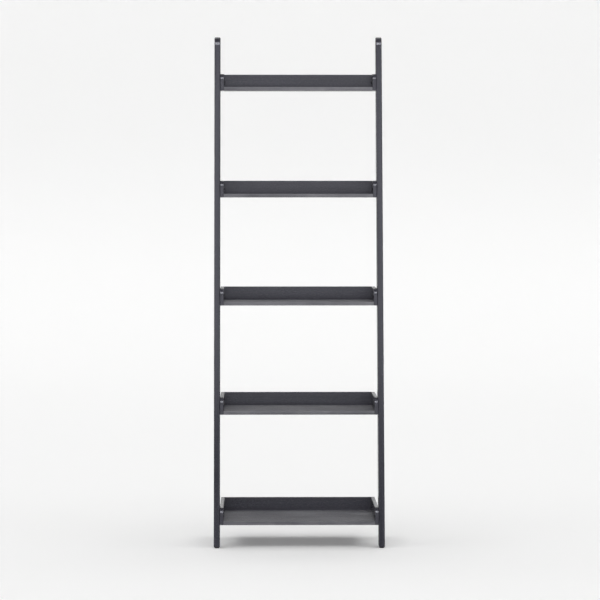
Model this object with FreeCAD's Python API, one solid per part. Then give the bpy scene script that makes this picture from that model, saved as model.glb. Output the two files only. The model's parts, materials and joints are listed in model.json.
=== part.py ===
# Leaning ladder shelf: two board legs lean on a wall, and five three-sided trays are bolted between them.
# Frame: millimetres, +Z up, +X to the right as seen from the room, +Y towards the wall.
# Origin: on the floor, in the middle of the width and of the depth.
import FreeCAD, Part
import math
import os
from FreeCAD import Vector

# ---- Driving dimensions ----

# Whole shelf
WIDTH = 616.0                 # over the outer faces of the legs
HEIGHT = 1850.0               # floor to the top of the legs
LEAN = math.radians(10.5)     # how far the legs lean from upright

# Legs
LEG_THICK = 22.0
LEG_DEEP = 71.0               # width of the board, square to its slope
LEG_EDGE_ROUND = 3.0

# Trays
TRAY_COUNT = 5
LOWEST_TRAY = 82.0            # floor to the underside of the lowest tray
TRAY_PITCH = 392.5            # underside to underside
SIDE_THICK = 13.0
SIDE_TALL = 61.5              # also the height of the back
SIDE_CORNER = 24.0            # round of a side's upper front corner
FLOOR_THICK = 13.0
BACK_THICK = 12.0
BOARD_EDGE_ROUND = 1.2

# Connecting bolts, and the threaded inserts they screw into
BOLT_UP = 34.0                # tray underside to the bolts
BOLT_SPREAD = 34.0            # front bolt to rear bolt
BOLT_RADIUS = 3.0
BOLT_REACH = 25.0             # length under the head
HEAD_RADIUS = 7.5
HEAD_THICK = 2.0
HEAD_ROUND = 0.8
SOCKET_FLATS = 4.0            # hexagon socket, flat to flat
SOCKET_DEEP = 2.6
BOLT_HOLE_RADIUS = 3.5        # clearance hole in a tray side
INSERT_RADIUS = 4.5
INSERT_BORE_RADIUS = 3.15
INSERT_LONG = 13.0
INSERT_HOLE_DEEP = 14.0       # blind hole in a leg

# Dowels that join the boards of a tray
DOWEL_RADIUS = 3.0
DOWEL_LONG = 26.0
DOWEL_CHAMFER = 0.6
DOWEL_END_GAP = 0.5           # glue space past each end of a dowel
DOWEL_IN_EDGE = 17.5          # part of its length in the board whose edge it enters
FLOOR_DOWEL_INSET = 22.0      # floor's ends: front or rear edge to the nearest dowel
FLOOR_DOWEL_STEP = 130.0      # greatest distance between two dowels
REAR_DOWEL_INSET = 56.0       # floor's rear edge: end of the floor to the nearest dowel
BACK_DOWEL_HEIGHTS = (22.0, 46.0)

# Feet
FOOT_PAD_THICK = 4.0
FOOT_PAD_WIDE = 17.0
FOOT_PAD_INSET = 4.0          # leg's edge to the pad, front and back
FOOT_SCREW_RADIUS = 1.5
FOOT_SCREW_LONG = 15.0
FOOT_SCREW_HEAD_RADIUS = 3.0
FOOT_SCREW_HEAD_THICK = 1.8
FOOT_SCREW_RECESS = 1.0       # floor to the screw's head
FOOT_SCREW_SPREAD = 40.0

# Wall
WALL_PAD_THICK = 2.5          # wall to the rear of the leg tops and of the tray backs
WALL_PAD_RADIUS = 8.0
WALL_HOLE_RADIUS = 2.5        # blind screw holes in the rear of the top tray's back, for wall brackets
WALL_HOLE_DEEP = 8.0
WALL_HOLE_SPREAD = 406.4      # one wall stud to the next
WALL_HOLE_UP = 40.0           # tray underside to the screw holes

# ---- Places worked out from them ----

LEG_ROUND = LEG_DEEP / 2
LEG_LEVEL = LEG_DEEP / math.cos(LEAN)      # depth of a leg in a level cut
TOP_CENTRE_Z = HEIGHT - LEG_ROUND
TOP_RUN = (TOP_CENTRE_Z - FOOT_PAD_THICK) * math.tan(LEAN)
DEPTH = TOP_RUN + LEG_LEVEL / 2 + LEG_ROUND + WALL_PAD_THICK
FRONT_Y = -DEPTH / 2
WALL_Y = DEPTH / 2
REAR_Y = WALL_Y - WALL_PAD_THICK
LEG_INNER_X = WIDTH / 2 - LEG_THICK
TRAY_INNER_X = LEG_INNER_X - SIDE_THICK
SIDES = {"left": -1, "right": 1}


def leg_front_y(z):
    """Front edge of the legs at height z."""
    return FRONT_Y + (z - FOOT_PAD_THICK) * math.tan(LEAN)


def leg_centre_y(z):
    """Centre line of the legs at height z."""
    return leg_front_y(z) + LEG_LEVEL / 2


class Tray:
    """Where one tray lies. Trays are counted upwards from the floor."""

    def __init__(self, number):
        self.name = f"tray_{number}"
        self.bottom = LOWEST_TRAY + (number - 1) * TRAY_PITCH
        self.top = self.bottom + SIDE_TALL
        self.front = leg_front_y(self.bottom)
        self.floor_back = REAR_Y - BACK_THICK
        self.is_highest = number == TRAY_COUNT


TRAYS = [Tray(number) for number in range(1, TRAY_COUNT + 1)]


# ---- Helpers ----

def block(low, high):
    """Box from its lowest corner to its highest corner."""
    return Part.makeBox(*(high - low), low)


def rod(start, direction, radius, length):
    """Round rod from a point along a direction."""
    return Part.makeCylinder(radius, length, start, direction)


def sideways_plate(outline, x, thick):
    """Plate with the given side view, from x towards +X."""
    plate = Part.Face(outline).extrude(Vector(thick, 0, 0))
    plate.translate(Vector(x, 0, 0))
    return plate


def outline_edges(plate):
    """Edges around the two flat faces of a sideways plate."""
    half_thick = plate.BoundBox.XLength / 2
    return [edge for edge in plate.Edges if edge.BoundBox.XLength < half_thick]


def long_edges(board, keep):
    """Edges of a board that run along X and whose middle passes the keep test."""
    return [edge for edge in board.Edges
            if edge.BoundBox.XLength > board.BoundBox.XLength / 2 and keep(edge.CenterOfMass)]


def cut_all(board, tools):
    """Board with every tool taken out of it."""
    return board.cut(tools) if tools else board


def row_of(first, last, step):
    """Evenly spaced places from first to last, no more than step apart."""
    gaps = max(1, math.ceil((last - first) / step))
    return [first + (last - first) * gap / gaps for gap in range(gaps + 1)]


# ---- Fasteners ----

def bolt_places(tray):
    """(y, z) of the two bolts at each end of a tray, either side of the leg's centre line."""
    z = tray.bottom + BOLT_UP
    centre = leg_centre_y(z)
    return [(centre + offset, z) for offset in (-BOLT_SPREAD / 2, BOLT_SPREAD / 2)]


def hexagon_prism(start, direction, flats, length):
    """Hexagonal prism whose axis starts at a point and runs along +X or -X."""
    corner_radius = flats / math.sqrt(3)
    angles = [math.radians(60 * turn) for turn in range(7)]
    corners = [start + Vector(0, corner_radius * math.cos(a), corner_radius * math.sin(a)) for a in angles]
    return Part.Face(Part.makePolygon(corners)).extrude(direction * length)


def bolt(hand, y, z):
    """Flat-headed socket bolt whose head bears on the inner face of a tray side."""
    outward = Vector(hand, 0, 0)
    bearing = Vector(hand * TRAY_INNER_X, y, z)
    head_top = bearing - outward * HEAD_THICK
    head = rod(head_top, outward, HEAD_RADIUS, HEAD_THICK)
    rim = min(head.Edges, key=lambda edge: (abs(edge.CenterOfMass.x), -edge.Length))
    head = head.makeFillet(HEAD_ROUND, [rim])
    whole = head.fuse(rod(bearing, outward, BOLT_RADIUS, BOLT_REACH)).removeSplitter()
    return whole.cut(hexagon_prism(head_top, outward, SOCKET_FLATS, SOCKET_DEEP))


def insert(hand, y, z):
    """Threaded insert, drawn as a plain sleeve flush with the leg's inner face."""
    outward = Vector(hand, 0, 0)
    mouth = Vector(hand * LEG_INNER_X, y, z)
    sleeve = rod(mouth, outward, INSERT_RADIUS, INSERT_LONG)
    return sleeve.cut(rod(mouth, outward, INSERT_BORE_RADIUS, INSERT_LONG))


def dowel_line(joint, direction):
    """Start of a dowel that crosses a joint, with the longer part in the edge behind it."""
    return joint - direction * DOWEL_IN_EDGE


def dowel(joint, direction):
    """Wooden dowel with chamfered ends."""
    peg = rod(dowel_line(joint, direction), direction, DOWEL_RADIUS, DOWEL_LONG)
    rims = [edge for edge in peg.Edges if len(edge.Vertexes) == 1]
    return peg.makeChamfer(DOWEL_CHAMFER, rims)


def dowel_hole(joint, direction):
    """Hole for a dowel, a little longer than the dowel at both ends."""
    start = dowel_line(joint, direction) - direction * DOWEL_END_GAP
    return rod(start, direction, DOWEL_RADIUS, DOWEL_LONG + 2 * DOWEL_END_GAP)


def end_joints(tray, hand):
    """(joint, direction) of each dowel from the floor and the back into one side."""
    outward = Vector(hand, 0, 0)
    x = hand * TRAY_INNER_X
    floor_z = tray.bottom + FLOOR_THICK / 2
    back_y = REAR_Y - BACK_THICK / 2
    ys = row_of(tray.front + FLOOR_DOWEL_INSET, tray.floor_back - FLOOR_DOWEL_INSET, FLOOR_DOWEL_STEP)
    floor_joints = [(Vector(x, y, floor_z), outward) for y in ys]
    back_joints = [(Vector(x, back_y, tray.bottom + up), outward) for up in BACK_DOWEL_HEIGHTS]
    return floor_joints, back_joints


def rear_joints(tray):
    """(joint, direction) of each dowel from the floor's rear edge into the back."""
    reach = TRAY_INNER_X - REAR_DOWEL_INSET
    z = tray.bottom + FLOOR_THICK / 2
    wallward = Vector(0, 1, 0)
    return [(Vector(x, tray.floor_back, z), wallward) for x in row_of(-reach, reach, FLOOR_DOWEL_STEP)]


# ---- Tray boards ----

def side_outline(tray):
    """Side view of a tray side, with its upper front corner rounded."""
    arc_middle = SIDE_CORNER * (1 - math.sqrt(0.5))
    foot_front = Vector(0, tray.front, tray.bottom)
    arc_start = Vector(0, tray.front, tray.top - SIDE_CORNER)
    arc_through = Vector(0, tray.front + arc_middle, tray.top - arc_middle)
    arc_end = Vector(0, tray.front + SIDE_CORNER, tray.top)
    top_rear = Vector(0, REAR_Y, tray.top)
    foot_rear = Vector(0, REAR_Y, tray.bottom)
    return Part.Wire([
        Part.makeLine(foot_front, arc_start),
        Part.Arc(arc_start, arc_through, arc_end).toShape(),
        Part.makeLine(arc_end, top_rear),
        Part.makeLine(top_rear, foot_rear),
        Part.makeLine(foot_rear, foot_front),
    ])


def tray_side(tray, hand):
    """One side of a tray: eased board with bolt holes and dowel holes."""
    low_x = min(hand * TRAY_INNER_X, hand * LEG_INNER_X)
    board = sideways_plate(side_outline(tray), low_x, SIDE_THICK)
    board = board.makeFillet(BOARD_EDGE_ROUND, outline_edges(board))
    outward = Vector(hand, 0, 0)
    holes = [rod(Vector(hand * TRAY_INNER_X, y, z), outward, BOLT_HOLE_RADIUS, SIDE_THICK)
             for y, z in bolt_places(tray)]
    floor_joints, back_joints = end_joints(tray, hand)
    holes += [dowel_hole(*joint) for joint in floor_joints + back_joints]
    return cut_all(board, holes)


def tray_floor(tray):
    """Floor of a tray: it lies between the sides and in front of the back."""
    low = Vector(-TRAY_INNER_X, tray.front, tray.bottom)
    high = Vector(TRAY_INNER_X, tray.floor_back, tray.bottom + FLOOR_THICK)
    board = block(low, high)
    front_edges = long_edges(board, lambda middle: middle.y < tray.front + BOARD_EDGE_ROUND)
    board = board.makeFillet(BOARD_EDGE_ROUND, front_edges)
    joints = rear_joints(tray)
    for hand in SIDES.values():
        joints += end_joints(tray, hand)[0]
    return cut_all(board, [dowel_hole(*joint) for joint in joints])


def tray_back(tray):
    """Back of a tray, as tall as the sides. The highest one has two screw holes for wall brackets."""
    low = Vector(-TRAY_INNER_X, tray.floor_back, tray.bottom)
    high = Vector(TRAY_INNER_X, REAR_Y, tray.top)
    board = block(low, high)
    top_edges = long_edges(board, lambda middle: middle.z > tray.top - BOARD_EDGE_ROUND)
    board = board.makeFillet(BOARD_EDGE_ROUND, top_edges)
    joints = rear_joints(tray)
    for hand in SIDES.values():
        joints += end_joints(tray, hand)[1]
    holes = [dowel_hole(*joint) for joint in joints]
    if tray.is_highest:
        holes += wall_holes(tray)
    return cut_all(board, holes)


def wall_holes(tray):
    """Blind screw holes in the rear of a tray's back, one wall stud apart."""
    wallward = Vector(0, 1, 0)
    y = REAR_Y - WALL_HOLE_DEEP
    z = tray.bottom + WALL_HOLE_UP
    return [rod(Vector(x, y, z), wallward, WALL_HOLE_RADIUS, WALL_HOLE_DEEP)
            for x in (-WALL_HOLE_SPREAD / 2, WALL_HOLE_SPREAD / 2)]


def tray_dowels(tray):
    """All dowels of one tray."""
    joints = rear_joints(tray)
    for hand in SIDES.values():
        floor_joints, back_joints = end_joints(tray, hand)
        joints += floor_joints + back_joints
    return [dowel(*joint) for joint in joints]


def tray_bolts(tray):
    """The four bolts that hold one tray between the legs."""
    return [bolt(hand, y, z) for hand in SIDES.values() for y, z in bolt_places(tray)]


# ---- Legs, feet and wall pads ----

def leg_outline():
    """Side view of a leg: level foot, straight edges and a half-round top."""
    across = Vector(0, math.cos(LEAN), -math.sin(LEAN)) * LEG_ROUND
    along = Vector(0, math.sin(LEAN), math.cos(LEAN)) * LEG_ROUND
    foot_front = Vector(0, FRONT_Y, FOOT_PAD_THICK)
    foot_rear = Vector(0, FRONT_Y + LEG_LEVEL, FOOT_PAD_THICK)
    centre = Vector(0, leg_centre_y(TOP_CENTRE_Z), TOP_CENTRE_Z)
    return Part.Wire([
        Part.makeLine(foot_front, centre - across),
        Part.Arc(centre - across, centre + along, centre + across).toShape(),
        Part.makeLine(centre + across, foot_rear),
        Part.makeLine(foot_rear, foot_front),
    ])


def foot_screw_places(hand):
    """(x, y) of the two screws under one leg."""
    x = hand * (WIDTH - LEG_THICK) / 2
    middle = FRONT_Y + LEG_LEVEL / 2
    return [(x, middle + offset) for offset in (-FOOT_SCREW_SPREAD / 2, FOOT_SCREW_SPREAD / 2)]


def leg(hand):
    """One leg: eased board with holes for the inserts and for the foot pad's screws."""
    low_x = min(hand * LEG_INNER_X, hand * WIDTH / 2)
    board = sideways_plate(leg_outline(), low_x, LEG_THICK)
    board = board.makeFillet(LEG_EDGE_ROUND, outline_edges(board))
    outward = Vector(hand, 0, 0)
    holes = [rod(Vector(hand * LEG_INNER_X, y, z), outward, INSERT_RADIUS, INSERT_HOLE_DEEP)
             for tray in TRAYS for y, z in bolt_places(tray)]
    holes += [foot_screw_shank(x, y) for x, y in foot_screw_places(hand)]
    return cut_all(board, holes)


def leg_inserts(hand):
    """All threaded inserts of one leg."""
    return [insert(hand, y, z) for tray in TRAYS for y, z in bolt_places(tray)]


def foot_screw_shank(x, y):
    """Shank of a foot pad's screw."""
    start = Vector(x, y, FOOT_SCREW_RECESS)
    return rod(start, Vector(0, 0, 1), FOOT_SCREW_RADIUS, FOOT_SCREW_LONG)


def foot_screw_head(x, y, low, high):
    """Room for a foot pad's screw head between two heights."""
    return rod(Vector(x, y, low), Vector(0, 0, 1), FOOT_SCREW_HEAD_RADIUS, high - low)


def foot_screws():
    """The four screws that hold the foot pads."""
    head_top = FOOT_SCREW_RECESS + FOOT_SCREW_HEAD_THICK
    return [foot_screw_shank(x, y).fuse(foot_screw_head(x, y, FOOT_SCREW_RECESS, head_top)).removeSplitter()
            for hand in SIDES.values() for x, y in foot_screw_places(hand)]


def foot_pad(hand):
    """Rubber pad with round ends under one leg, recessed for its screw heads."""
    x = hand * (WIDTH - LEG_THICK) / 2
    half_wide = FOOT_PAD_WIDE / 2
    front = FRONT_Y + FOOT_PAD_INSET + half_wide
    rear = FRONT_Y + LEG_LEVEL - FOOT_PAD_INSET - half_wide
    middle = block(Vector(x - half_wide, front, 0), Vector(x + half_wide, rear, FOOT_PAD_THICK))
    ends = [rod(Vector(x, y, 0), Vector(0, 0, 1), half_wide, FOOT_PAD_THICK) for y in (front, rear)]
    pad = middle.fuse(ends).removeSplitter()
    head_top = FOOT_SCREW_RECESS + FOOT_SCREW_HEAD_THICK
    places = foot_screw_places(hand)
    holes = [foot_screw_head(px, py, 0, head_top) for px, py in places]
    holes += [foot_screw_shank(px, py) for px, py in places]
    return cut_all(pad, holes)


def wall_pad(hand, leg_board):
    """Round felt pad between the wall and the rounded top of a leg, shaped to the leg."""
    start = Vector(hand * (WIDTH - LEG_THICK) / 2, REAR_Y - WALL_PAD_THICK, TOP_CENTRE_Z)
    return rod(start, Vector(0, 1, 0), WALL_PAD_RADIUS, 2 * WALL_PAD_THICK).cut(leg_board)


# ---- The whole shelf ----

def all_nodes():
    """Every sub-part by name: one solid, or a list of identical fasteners."""
    nodes = {}
    for side, hand in SIDES.items():
        nodes[f"{side}_leg"] = leg(hand)
        nodes[f"{side}_leg_inserts"] = leg_inserts(hand)
        nodes[f"{side}_foot_pad"] = foot_pad(hand)
        nodes[f"{side}_wall_pad"] = wall_pad(hand, nodes[f"{side}_leg"])
    nodes["foot_pad_screws"] = foot_screws()
    for tray in TRAYS:
        nodes[f"{tray.name}_floor"] = tray_floor(tray)
        nodes[f"{tray.name}_back"] = tray_back(tray)
        for side, hand in SIDES.items():
            nodes[f"{tray.name}_{side}_side"] = tray_side(tray, hand)
        nodes[f"{tray.name}_bolts"] = tray_bolts(tray)
        nodes[f"{tray.name}_dowels"] = tray_dowels(tray)
    return nodes


def save(name, node):
    """Write one sub-part and print what it holds."""
    shape = Part.makeCompound(node) if isinstance(node, list) else node
    shape.exportStep(f"parts/{name}.step")
    print(f"{name}: {len(shape.Solids)} solids, {shape.Volume / 1000:.1f} cm3, valid {shape.isValid()}")


os.makedirs("parts", exist_ok=True)
for node_name, node_shape in all_nodes().items():
    save(node_name, node_shape)
print(f"overall {WIDTH:.1f} wide, {DEPTH:.1f} deep, {HEIGHT:.1f} tall")
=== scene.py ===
# %% [markdown]
# # A leaning ladder shelf in black lacquer
#
# The real shelf is two slanted board legs with rounded tops, and five open trays bolted between them.
# Each tray is a floor, a low back and two low sides, and the trays grow deeper towards the floor.
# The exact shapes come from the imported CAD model, which this file loads as a fixed frame. Blender's part
# is the finish: the grain of the wood, the sheen of the lacquer, the fine shape of boards and bolts, and
# the light.

# %% Load the frame
import json
import math

import bpy
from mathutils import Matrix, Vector


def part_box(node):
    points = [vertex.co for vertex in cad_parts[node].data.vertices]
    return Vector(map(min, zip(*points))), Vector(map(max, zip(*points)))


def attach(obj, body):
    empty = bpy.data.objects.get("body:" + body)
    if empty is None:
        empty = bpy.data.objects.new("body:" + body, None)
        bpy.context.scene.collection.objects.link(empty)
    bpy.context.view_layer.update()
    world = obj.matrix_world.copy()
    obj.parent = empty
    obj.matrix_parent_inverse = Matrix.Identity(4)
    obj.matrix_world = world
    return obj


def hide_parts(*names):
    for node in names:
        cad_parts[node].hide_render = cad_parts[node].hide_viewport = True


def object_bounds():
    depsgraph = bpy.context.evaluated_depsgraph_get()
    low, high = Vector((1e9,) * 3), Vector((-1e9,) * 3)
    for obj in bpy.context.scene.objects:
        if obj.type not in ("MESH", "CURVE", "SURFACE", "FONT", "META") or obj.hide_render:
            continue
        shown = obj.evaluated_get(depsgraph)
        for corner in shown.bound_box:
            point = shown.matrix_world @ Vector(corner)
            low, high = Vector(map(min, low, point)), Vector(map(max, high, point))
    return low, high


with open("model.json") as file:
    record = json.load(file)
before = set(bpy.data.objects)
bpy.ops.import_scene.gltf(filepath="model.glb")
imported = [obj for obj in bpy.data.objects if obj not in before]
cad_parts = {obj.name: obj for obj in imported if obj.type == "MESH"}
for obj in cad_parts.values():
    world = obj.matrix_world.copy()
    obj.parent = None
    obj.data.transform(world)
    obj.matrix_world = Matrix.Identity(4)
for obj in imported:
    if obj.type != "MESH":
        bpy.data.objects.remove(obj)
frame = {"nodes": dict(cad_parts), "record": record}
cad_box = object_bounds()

scene = bpy.context.scene
scene.view_settings.view_transform = "Standard"
lowest, highest = cad_box
print("CAD box, metres:", [round(side, 4) for side in highest - lowest])

# %% [markdown]
# ## Sizes
#
# Every size below is read from the frame, so this file follows the CAD model if that changes.
# The trays keep one rule: from one tier to the next the bottom rises by the pitch, and the front steps
# back by the same amount each time, because the legs lean. Two numbers and a count describe all five.

# %% Read the trays' rule from the frame
TRAY_COUNT = sum(1 for name in frame["nodes"] if name.startswith("tray_") and name.endswith("_floor"))


def low(node):
    """Lowest corner of a CAD node."""
    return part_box(node)[0]


def high(node):
    """Highest corner of a CAD node."""
    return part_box(node)[1]


lowest_bottom = low("tray_1_floor").z
lowest_front = low("tray_1_floor").y
pitch = low("tray_2_floor").z - lowest_bottom
step_back = low("tray_2_floor").y - lowest_front
lean = math.atan2(step_back, pitch)
print(f"{TRAY_COUNT} trays, pitch {pitch:.4f} m, lean {math.degrees(lean):.2f} degrees")

# %% [markdown]
# ## Building node trees in code
#
# Materials and Geometry Nodes are both trees of nodes, so one helper serves both. It adds a node and
# fills its inputs. An input is given either a plain value or another node's output, and the second
# kind becomes a link.

# %% A helper that adds a node
def add(tree, kind, inputs=None, **settings):
    """Adds a node, sets its settings, and fills its inputs with values or with links."""
    node = tree.nodes.new(kind)
    for name, value in settings.items():
        setattr(node, name, value)
    for socket, value in (inputs or {}).items():
        if isinstance(value, bpy.types.NodeSocket):
            tree.links.new(value, node.inputs[socket])
        else:
            node.inputs[socket].default_value = value
    return node


def math_of(tree, operation, first, second=0.0, clamp=False):
    """Output of a Math node."""
    node = add(tree, "ShaderNodeMath", {0: first, 1: second}, operation=operation, use_clamp=clamp)
    return node.outputs[0]


# %% Helpers for materials
NOISE_CORE = (0.35, 0.65)               # most of a noise's values lie between these
NOISE_BODY = (0.30, 0.70)               # nearly all of them do


def new_finish(name, colour, roughness, **more):
    """A material with one Principled shader. Extra sockets are given by name, with _ for a space."""
    material = bpy.data.materials.new(name)
    material.use_nodes = True
    tree = material.node_tree
    shader = tree.nodes["Principled BSDF"]
    shader.inputs["Base Color"].default_value = (*colour, 1.0)
    shader.inputs["Roughness"].default_value = roughness
    for socket, value in more.items():
        shader.inputs[socket.replace("_", " ")].default_value = value
    return material, tree, shader


def stretched(tree, place, along, across):
    """Coordinates for a pattern that repeats along times a metre on X, and across times on Y and Z."""
    scale = (along, across, across)
    return add(tree, "ShaderNodeVectorMath", {0: place, 1: scale}, operation="MULTIPLY").outputs[0]


def noise(tree, place, detail=2.0, scale=1.0, roughness=0.5):
    """Output of a Noise Texture, about 0.5 on average."""
    inputs = {"Vector": place, "Scale": scale, "Detail": detail, "Roughness": roughness}
    return add(tree, "ShaderNodeTexNoise", inputs).outputs[0]


def remap(tree, value, start, end, low_value=0.0, high_value=1.0):
    """Turns the range start to end into low_value to high_value, and holds both ends."""
    inputs = {0: value, 1: start, 2: end, 3: low_value, 4: high_value}
    return add(tree, "ShaderNodeMapRange", inputs).outputs[0]


def blend_colours(tree, share, first, second):
    """Mixes two colours. Each is a colour, or another node's output."""
    node = add(tree, "ShaderNodeMix", data_type="RGBA")
    for socket, value in ((0, share), (6, first), (7, second)):
        if isinstance(value, bpy.types.NodeSocket):
            tree.links.new(value, node.inputs[socket])
        else:
            node.inputs[socket].default_value = (*value, 1.0)
    return node.outputs[2]


def bump(tree, height, distance, under=None, strength=1.0):
    """Normal from a height pattern. Distance is the relief in metres at full height."""
    inputs = {"Height": height, "Distance": distance, "Strength": strength}
    if under is not None:
        inputs["Normal"] = under
    return add(tree, "ShaderNodeBump", inputs).outputs[0]


# %% [markdown]
# ## The lacquered wood
#
# The boards are an open-pored wood under a thin satin lacquer, nearly black with a cold cast. Close to,
# three things show: long faint streaks where the grain takes the lacquer differently, short pores that
# the lacquer sinks into, and a very slight waviness of the lacquer film itself. Along the edges the film
# is thinner, and lets a little brown through.
#
# Tray floors are what things are put down on and dragged off, so they have cloudy scuffs, less glossy,
# which spare the deep grain. The same clouds are painted paler, as a painted sheen that stands in for
# the light the floors mirror.
#
# One recipe makes all of it, and a Mapping node turns it so that the grain runs along each board: along
# the width on tray floors and backs, front to back on tray sides, and up the slope on the legs.

# %% Values of the lacquer
LACQUER_DEEP = (0.0115, 0.0112, 0.0158)
LACQUER_THIN = (0.0240, 0.0233, 0.0315)
LACQUER_ROUGHNESS = (0.21, 0.27)
SHEEN_TINT = (0.91, 0.92, 1.0)          # the lacquer's reflections are a little cold
STREAKS_PER_METRE = (1.6, 70.0)         # along the grain, across it
FIBRES_PER_METRE = (14.0, 900.0)
STREAK_TONE = 0.8                       # parts that streaks and fibres have in the tone
FIBRE_TONE = 0.2
FIBRE_RELIEF = 0.00003
PORES_PER_METRE = (110.0, 1900.0)
PORE_LEVELS = (0.60, 0.70)              # noise level at which a pore starts, and is full
PORE_DARKER = 0.6
PORE_ROUGHER = 0.15
PORE_DEPTH = 0.00012
FILM_WAVES_PER_METRE = 260.0
FILM_RELIEF = 0.000012


# %% Build the lacquer
def lacquered_wood(name, grain_turn, scuffs_and_painted_sheen=False):
    """Black lacquer over open-pored wood. grain_turn is the rotation that brings the grain onto X."""
    material, tree, shader = new_finish(name, LACQUER_DEEP, LACQUER_ROUGHNESS[0])
    shader.inputs["Specular Tint"].default_value = (*SHEEN_TINT, 1.0)
    place = add(tree, "ShaderNodeTexCoord").outputs["Object"]
    place = add(tree, "ShaderNodeMapping", {"Vector": place, "Rotation": grain_turn}).outputs[0]
    streaks = noise(tree, stretched(tree, place, *STREAKS_PER_METRE), detail=5.0, roughness=0.6)
    fibres = noise(tree, stretched(tree, place, *FIBRES_PER_METRE), detail=3.0)
    pores = remap(tree, noise(tree, stretched(tree, place, *PORES_PER_METRE), detail=1.0), *PORE_LEVELS)
    film = noise(tree, place, scale=FILM_WAVES_PER_METRE, detail=1.0)

    streak_tone = remap(tree, streaks, *NOISE_BODY, 0.0, STREAK_TONE)
    fibre_tone = remap(tree, fibres, *NOISE_BODY, 0.0, FIBRE_TONE)
    tone = math_of(tree, "ADD", streak_tone, fibre_tone)
    colour = blend_colours(tree, tone, LACQUER_DEEP, LACQUER_THIN)
    colour = blend_colours(tree, math_of(tree, "MULTIPLY", pores, PORE_DARKER), colour, LACQUER_DEEP)
    colour = blend_colours(tree, wear_share(tree, streaks), colour, LACQUER_WORN)
    roughness = remap(tree, streaks, *NOISE_CORE, *LACQUER_ROUGHNESS)
    # the tray floors get scuffs, and a paler colour that is painted sheen
    if scuffs_and_painted_sheen:
        colour, roughness = add_scuffs_and_painted_sheen(tree, place, tone, colour, roughness)
    pore_rough = math_of(tree, "MULTIPLY", pores, PORE_ROUGHER)
    roughness = math_of(tree, "ADD", roughness, pore_rough, clamp=True)
    tree.links.new(colour, shader.inputs["Base Color"])
    tree.links.new(roughness, shader.inputs["Roughness"])

    relief = bump(tree, film, FILM_RELIEF)
    relief = bump(tree, fibres, FIBRE_RELIEF, relief)
    relief = bump(tree, math_of(tree, "SUBTRACT", 1.0, pores), PORE_DEPTH, relief)
    tree.links.new(relief, shader.inputs["Normal"])
    return material


# %% Worn edges
LACQUER_WORN = (0.0850, 0.0600, 0.0420)
EDGE_REACH = 0.0012                     # how far the film is thin beside an edge
EDGE_COSINES = (0.98, 0.80)             # turn of the normal at which an edge starts, and is full
WEAR_LEVELS = (0.45, 0.70)              # streak level at which wear starts, and is full
WEAR_MOST = 0.55


def wear_share(tree, streaks):
    """How worn the film is: only on an edge, and only where a streak is strong."""
    edge = edge_share(tree)
    wear = remap(tree, streaks, *WEAR_LEVELS, 0.0, WEAR_MOST)
    return math_of(tree, "MULTIPLY", edge, wear)


def edge_share(tree):
    """1 on an edge and 0 away from it: how far the rounded normal differs from the true one."""
    rounded = add(tree, "ShaderNodeBevel", {"Radius": EDGE_REACH}, samples=4).outputs[0]
    true = add(tree, "ShaderNodeNewGeometry").outputs["Normal"]
    match = add(tree, "ShaderNodeVectorMath", {0: rounded, 1: true}, operation="DOT_PRODUCT")
    return remap(tree, match.outputs["Value"], *EDGE_COSINES)


# %% Tray floors: scuffs, and a painted sheen
# a paler colour painted on the tray floors as sheen, standing in for the light their lacquer mirrors
LACQUER_PAINTED_SHEEN = (0.1550, 0.1530, 0.1620)
SCUFF_AND_SHEEN_CLOUDS_PER_METRE = 7.0
SCUFF_AND_SHEEN_SHARE = (0.40, 0.90)             # least and most of the scuffs, and of the painted sheen
SCUFF_AND_SHEEN_TONES = (0.1, 0.9)               # tone of the deep grain, and of the plain face
SCUFF_AND_SHEEN_IN_GRAIN = 0.35                  # part of the share that reaches the deep grain
RUBBED_ROUGHER = 0.45


def add_scuffs_and_painted_sheen(tree, place, tone, colour, roughness):
    """The colour and the roughness with cloudy scuffs laid over them, which are rougher and painted paler
    as a sheen.
    """
    scuffs_and_sheen = noise(tree, place, scale=SCUFF_AND_SHEEN_CLOUDS_PER_METRE, detail=8.0, roughness=0.65)
    cloud = remap(tree, scuffs_and_sheen, *NOISE_CORE, *SCUFF_AND_SHEEN_SHARE)
    reach = remap(tree, tone, *SCUFF_AND_SHEEN_TONES, SCUFF_AND_SHEEN_IN_GRAIN, 1.0)
    share = math_of(tree, "MULTIPLY", cloud, reach)
    colour = blend_colours(tree, share, colour, LACQUER_PAINTED_SHEEN)
    rougher = math_of(tree, "MULTIPLY", share, RUBBED_ROUGHER)
    return colour, math_of(tree, "ADD", roughness, rougher)


# %% Turn the grain for each board
QUARTER = math.radians(90)
grain_along_tray = lacquered_wood("lacquer_grain_along_tray", (0, 0, 0))
# the tray floors' finish has scuffs and a painted sheen
floor_scuffs_and_painted_sheen = lacquered_wood("lacquer_rubbed_tray_floor", (0, 0, 0), scuffs_and_painted_sheen=True)
grain_front_to_back = lacquered_wood("lacquer_grain_front_to_back", (0, 0, -QUARTER))
grain_up_leg = lacquered_wood("lacquer_grain_up_leg", (lean, QUARTER, 0))
print("lacquer nodes:", len(grain_up_leg.node_tree.nodes))

# %% [markdown]
# ## The small finishes
#
# The bolts are black-oxide steel, the inserts bright zinc, the dowels bare beech, the foot pads rubber,
# their screws nickel plate and the wall pads grey felt. Most of this hides inside the shelf, but each
# finish is made properly, so that any piece can be taken out and looked at.

# %% Metals
BLACK_OXIDE = (0.035, 0.035, 0.038)
ZINC = (0.62, 0.63, 0.64)
NICKEL = (0.66, 0.64, 0.60)
SMEARS_PER_METRE = 220.0
SMEAR_DARKER = 0.7                      # a smear's colour, as a share of the clean metal's
SCRATCHES_PER_METRE = (300.0, 4200.0)
SCRATCH_DEPTH = 0.00001


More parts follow.
